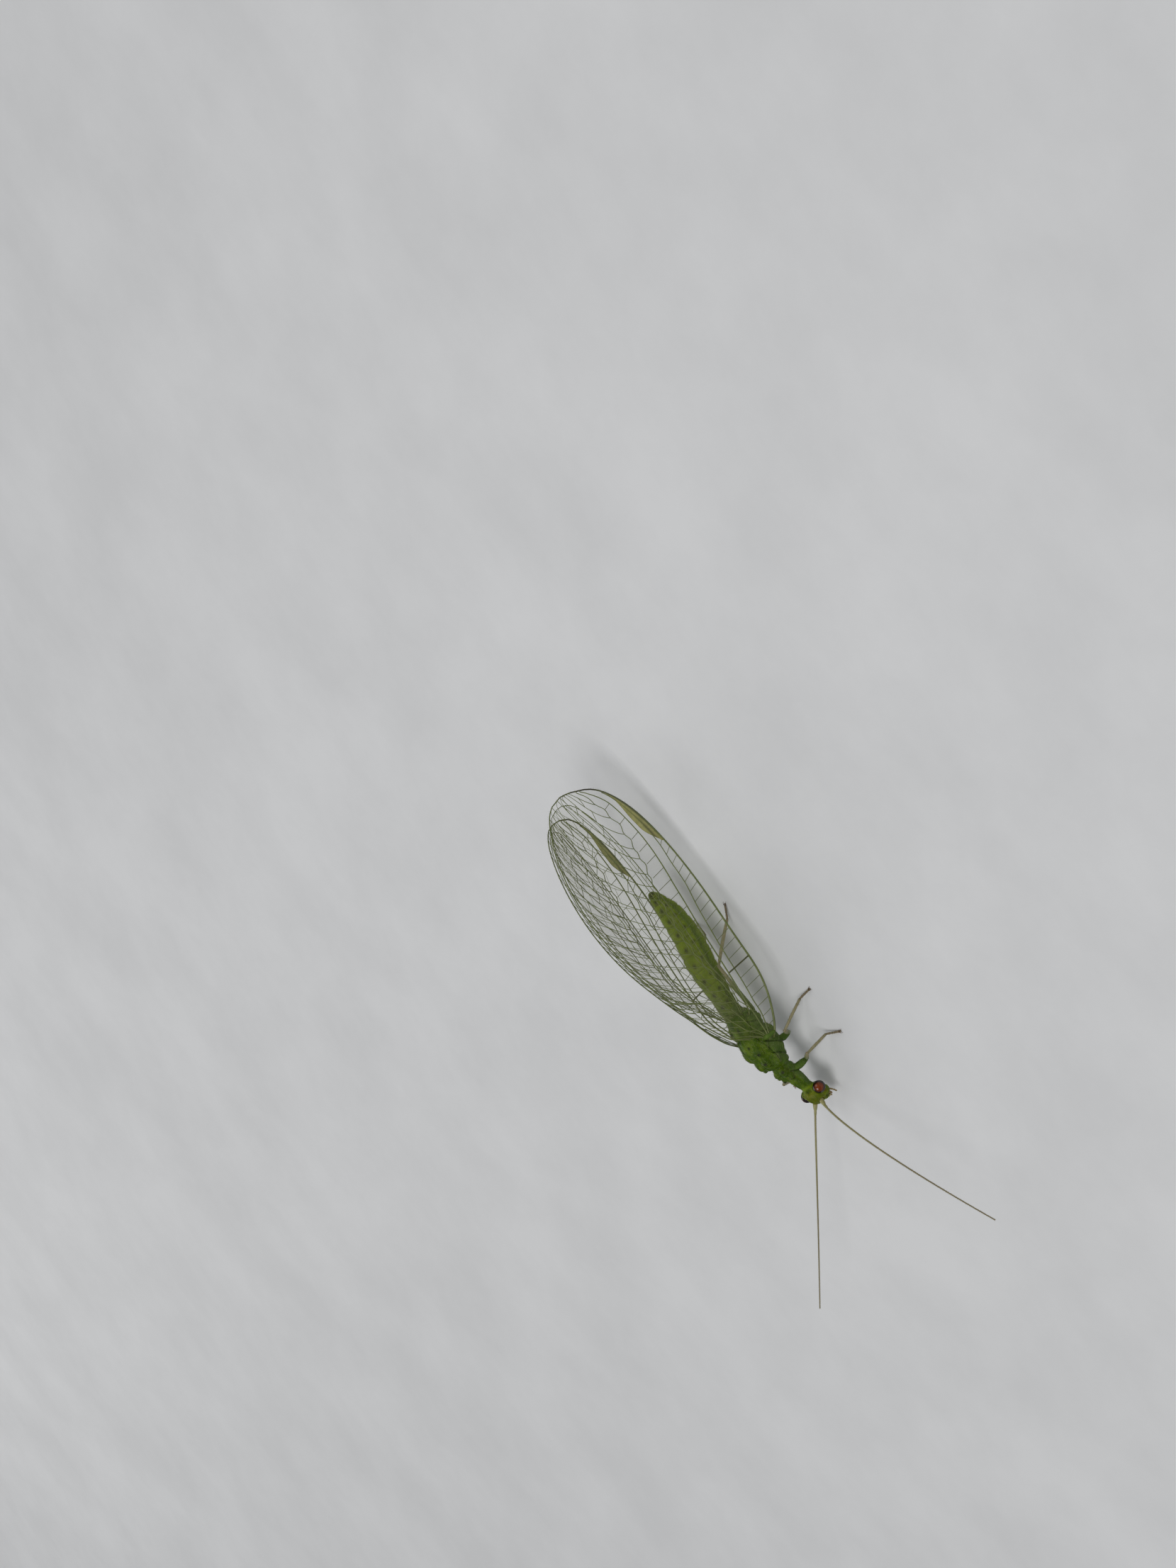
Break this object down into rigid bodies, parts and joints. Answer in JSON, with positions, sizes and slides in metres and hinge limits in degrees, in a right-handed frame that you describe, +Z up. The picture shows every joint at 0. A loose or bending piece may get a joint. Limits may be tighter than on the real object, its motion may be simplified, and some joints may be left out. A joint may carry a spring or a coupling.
{
  "type": "green lacewing model",
  "caption": "Resting lacewing with roofed clear wings, long feelers and a slender green body, standing on its feet as a still model.",
  "frame": {"origin": "on the floor below the middle of the whole outline", "axes": "+X points from the wing tips to the head, +Y to the animal's left, +Z up, with the feet's soles at Z = 0"},
  "size_m": [0.0244, 0.0152, 0.0055],
  "materials": {
    "body": "satin olive-green cuticle with dark spots",
    "head": "satin yellow-green cuticle",
    "eye": "glossy amber-brown facets",
    "feeler": "matt grey-brown, ringed and finely haired",
    "leg": "satin pale green-brown, finely haired",
    "wing": "clear glossy film with green-grey veins"
  },
  "bodies": {
    "root": {"head": "head", "mouthparts": "head", "eye_left": "eye", "eye_right": "eye", "antenna_left": "feeler", "antenna_right": "feeler", "prothorax": "body", "mesothorax": "body", "metathorax": "body", "abdomen": "body", "forewing_left": "wing", "forewing_right": "wing", "hindwing_left": "wing", "hindwing_right": "wing", "leg_front_femur_left": "leg", "leg_front_femur_right": "leg", "leg_front_tibia_left": "leg", "leg_front_tibia_right": "leg", "leg_front_tarsus_left": "leg", "leg_front_tarsus_right": "leg", "leg_middle_femur_left": "leg", "leg_middle_femur_right": "leg", "leg_middle_tibia_left": "leg", "leg_middle_tibia_right": "leg", "leg_middle_tarsus_left": "leg", "leg_middle_tarsus_right": "leg", "leg_hind_femur_left": "leg", "leg_hind_femur_right": "leg", "leg_hind_tibia_left": "leg", "leg_hind_tibia_right": "leg", "leg_hind_tarsus_left": "leg", "leg_hind_tarsus_right": "leg"}
  },
  "joints": []
}
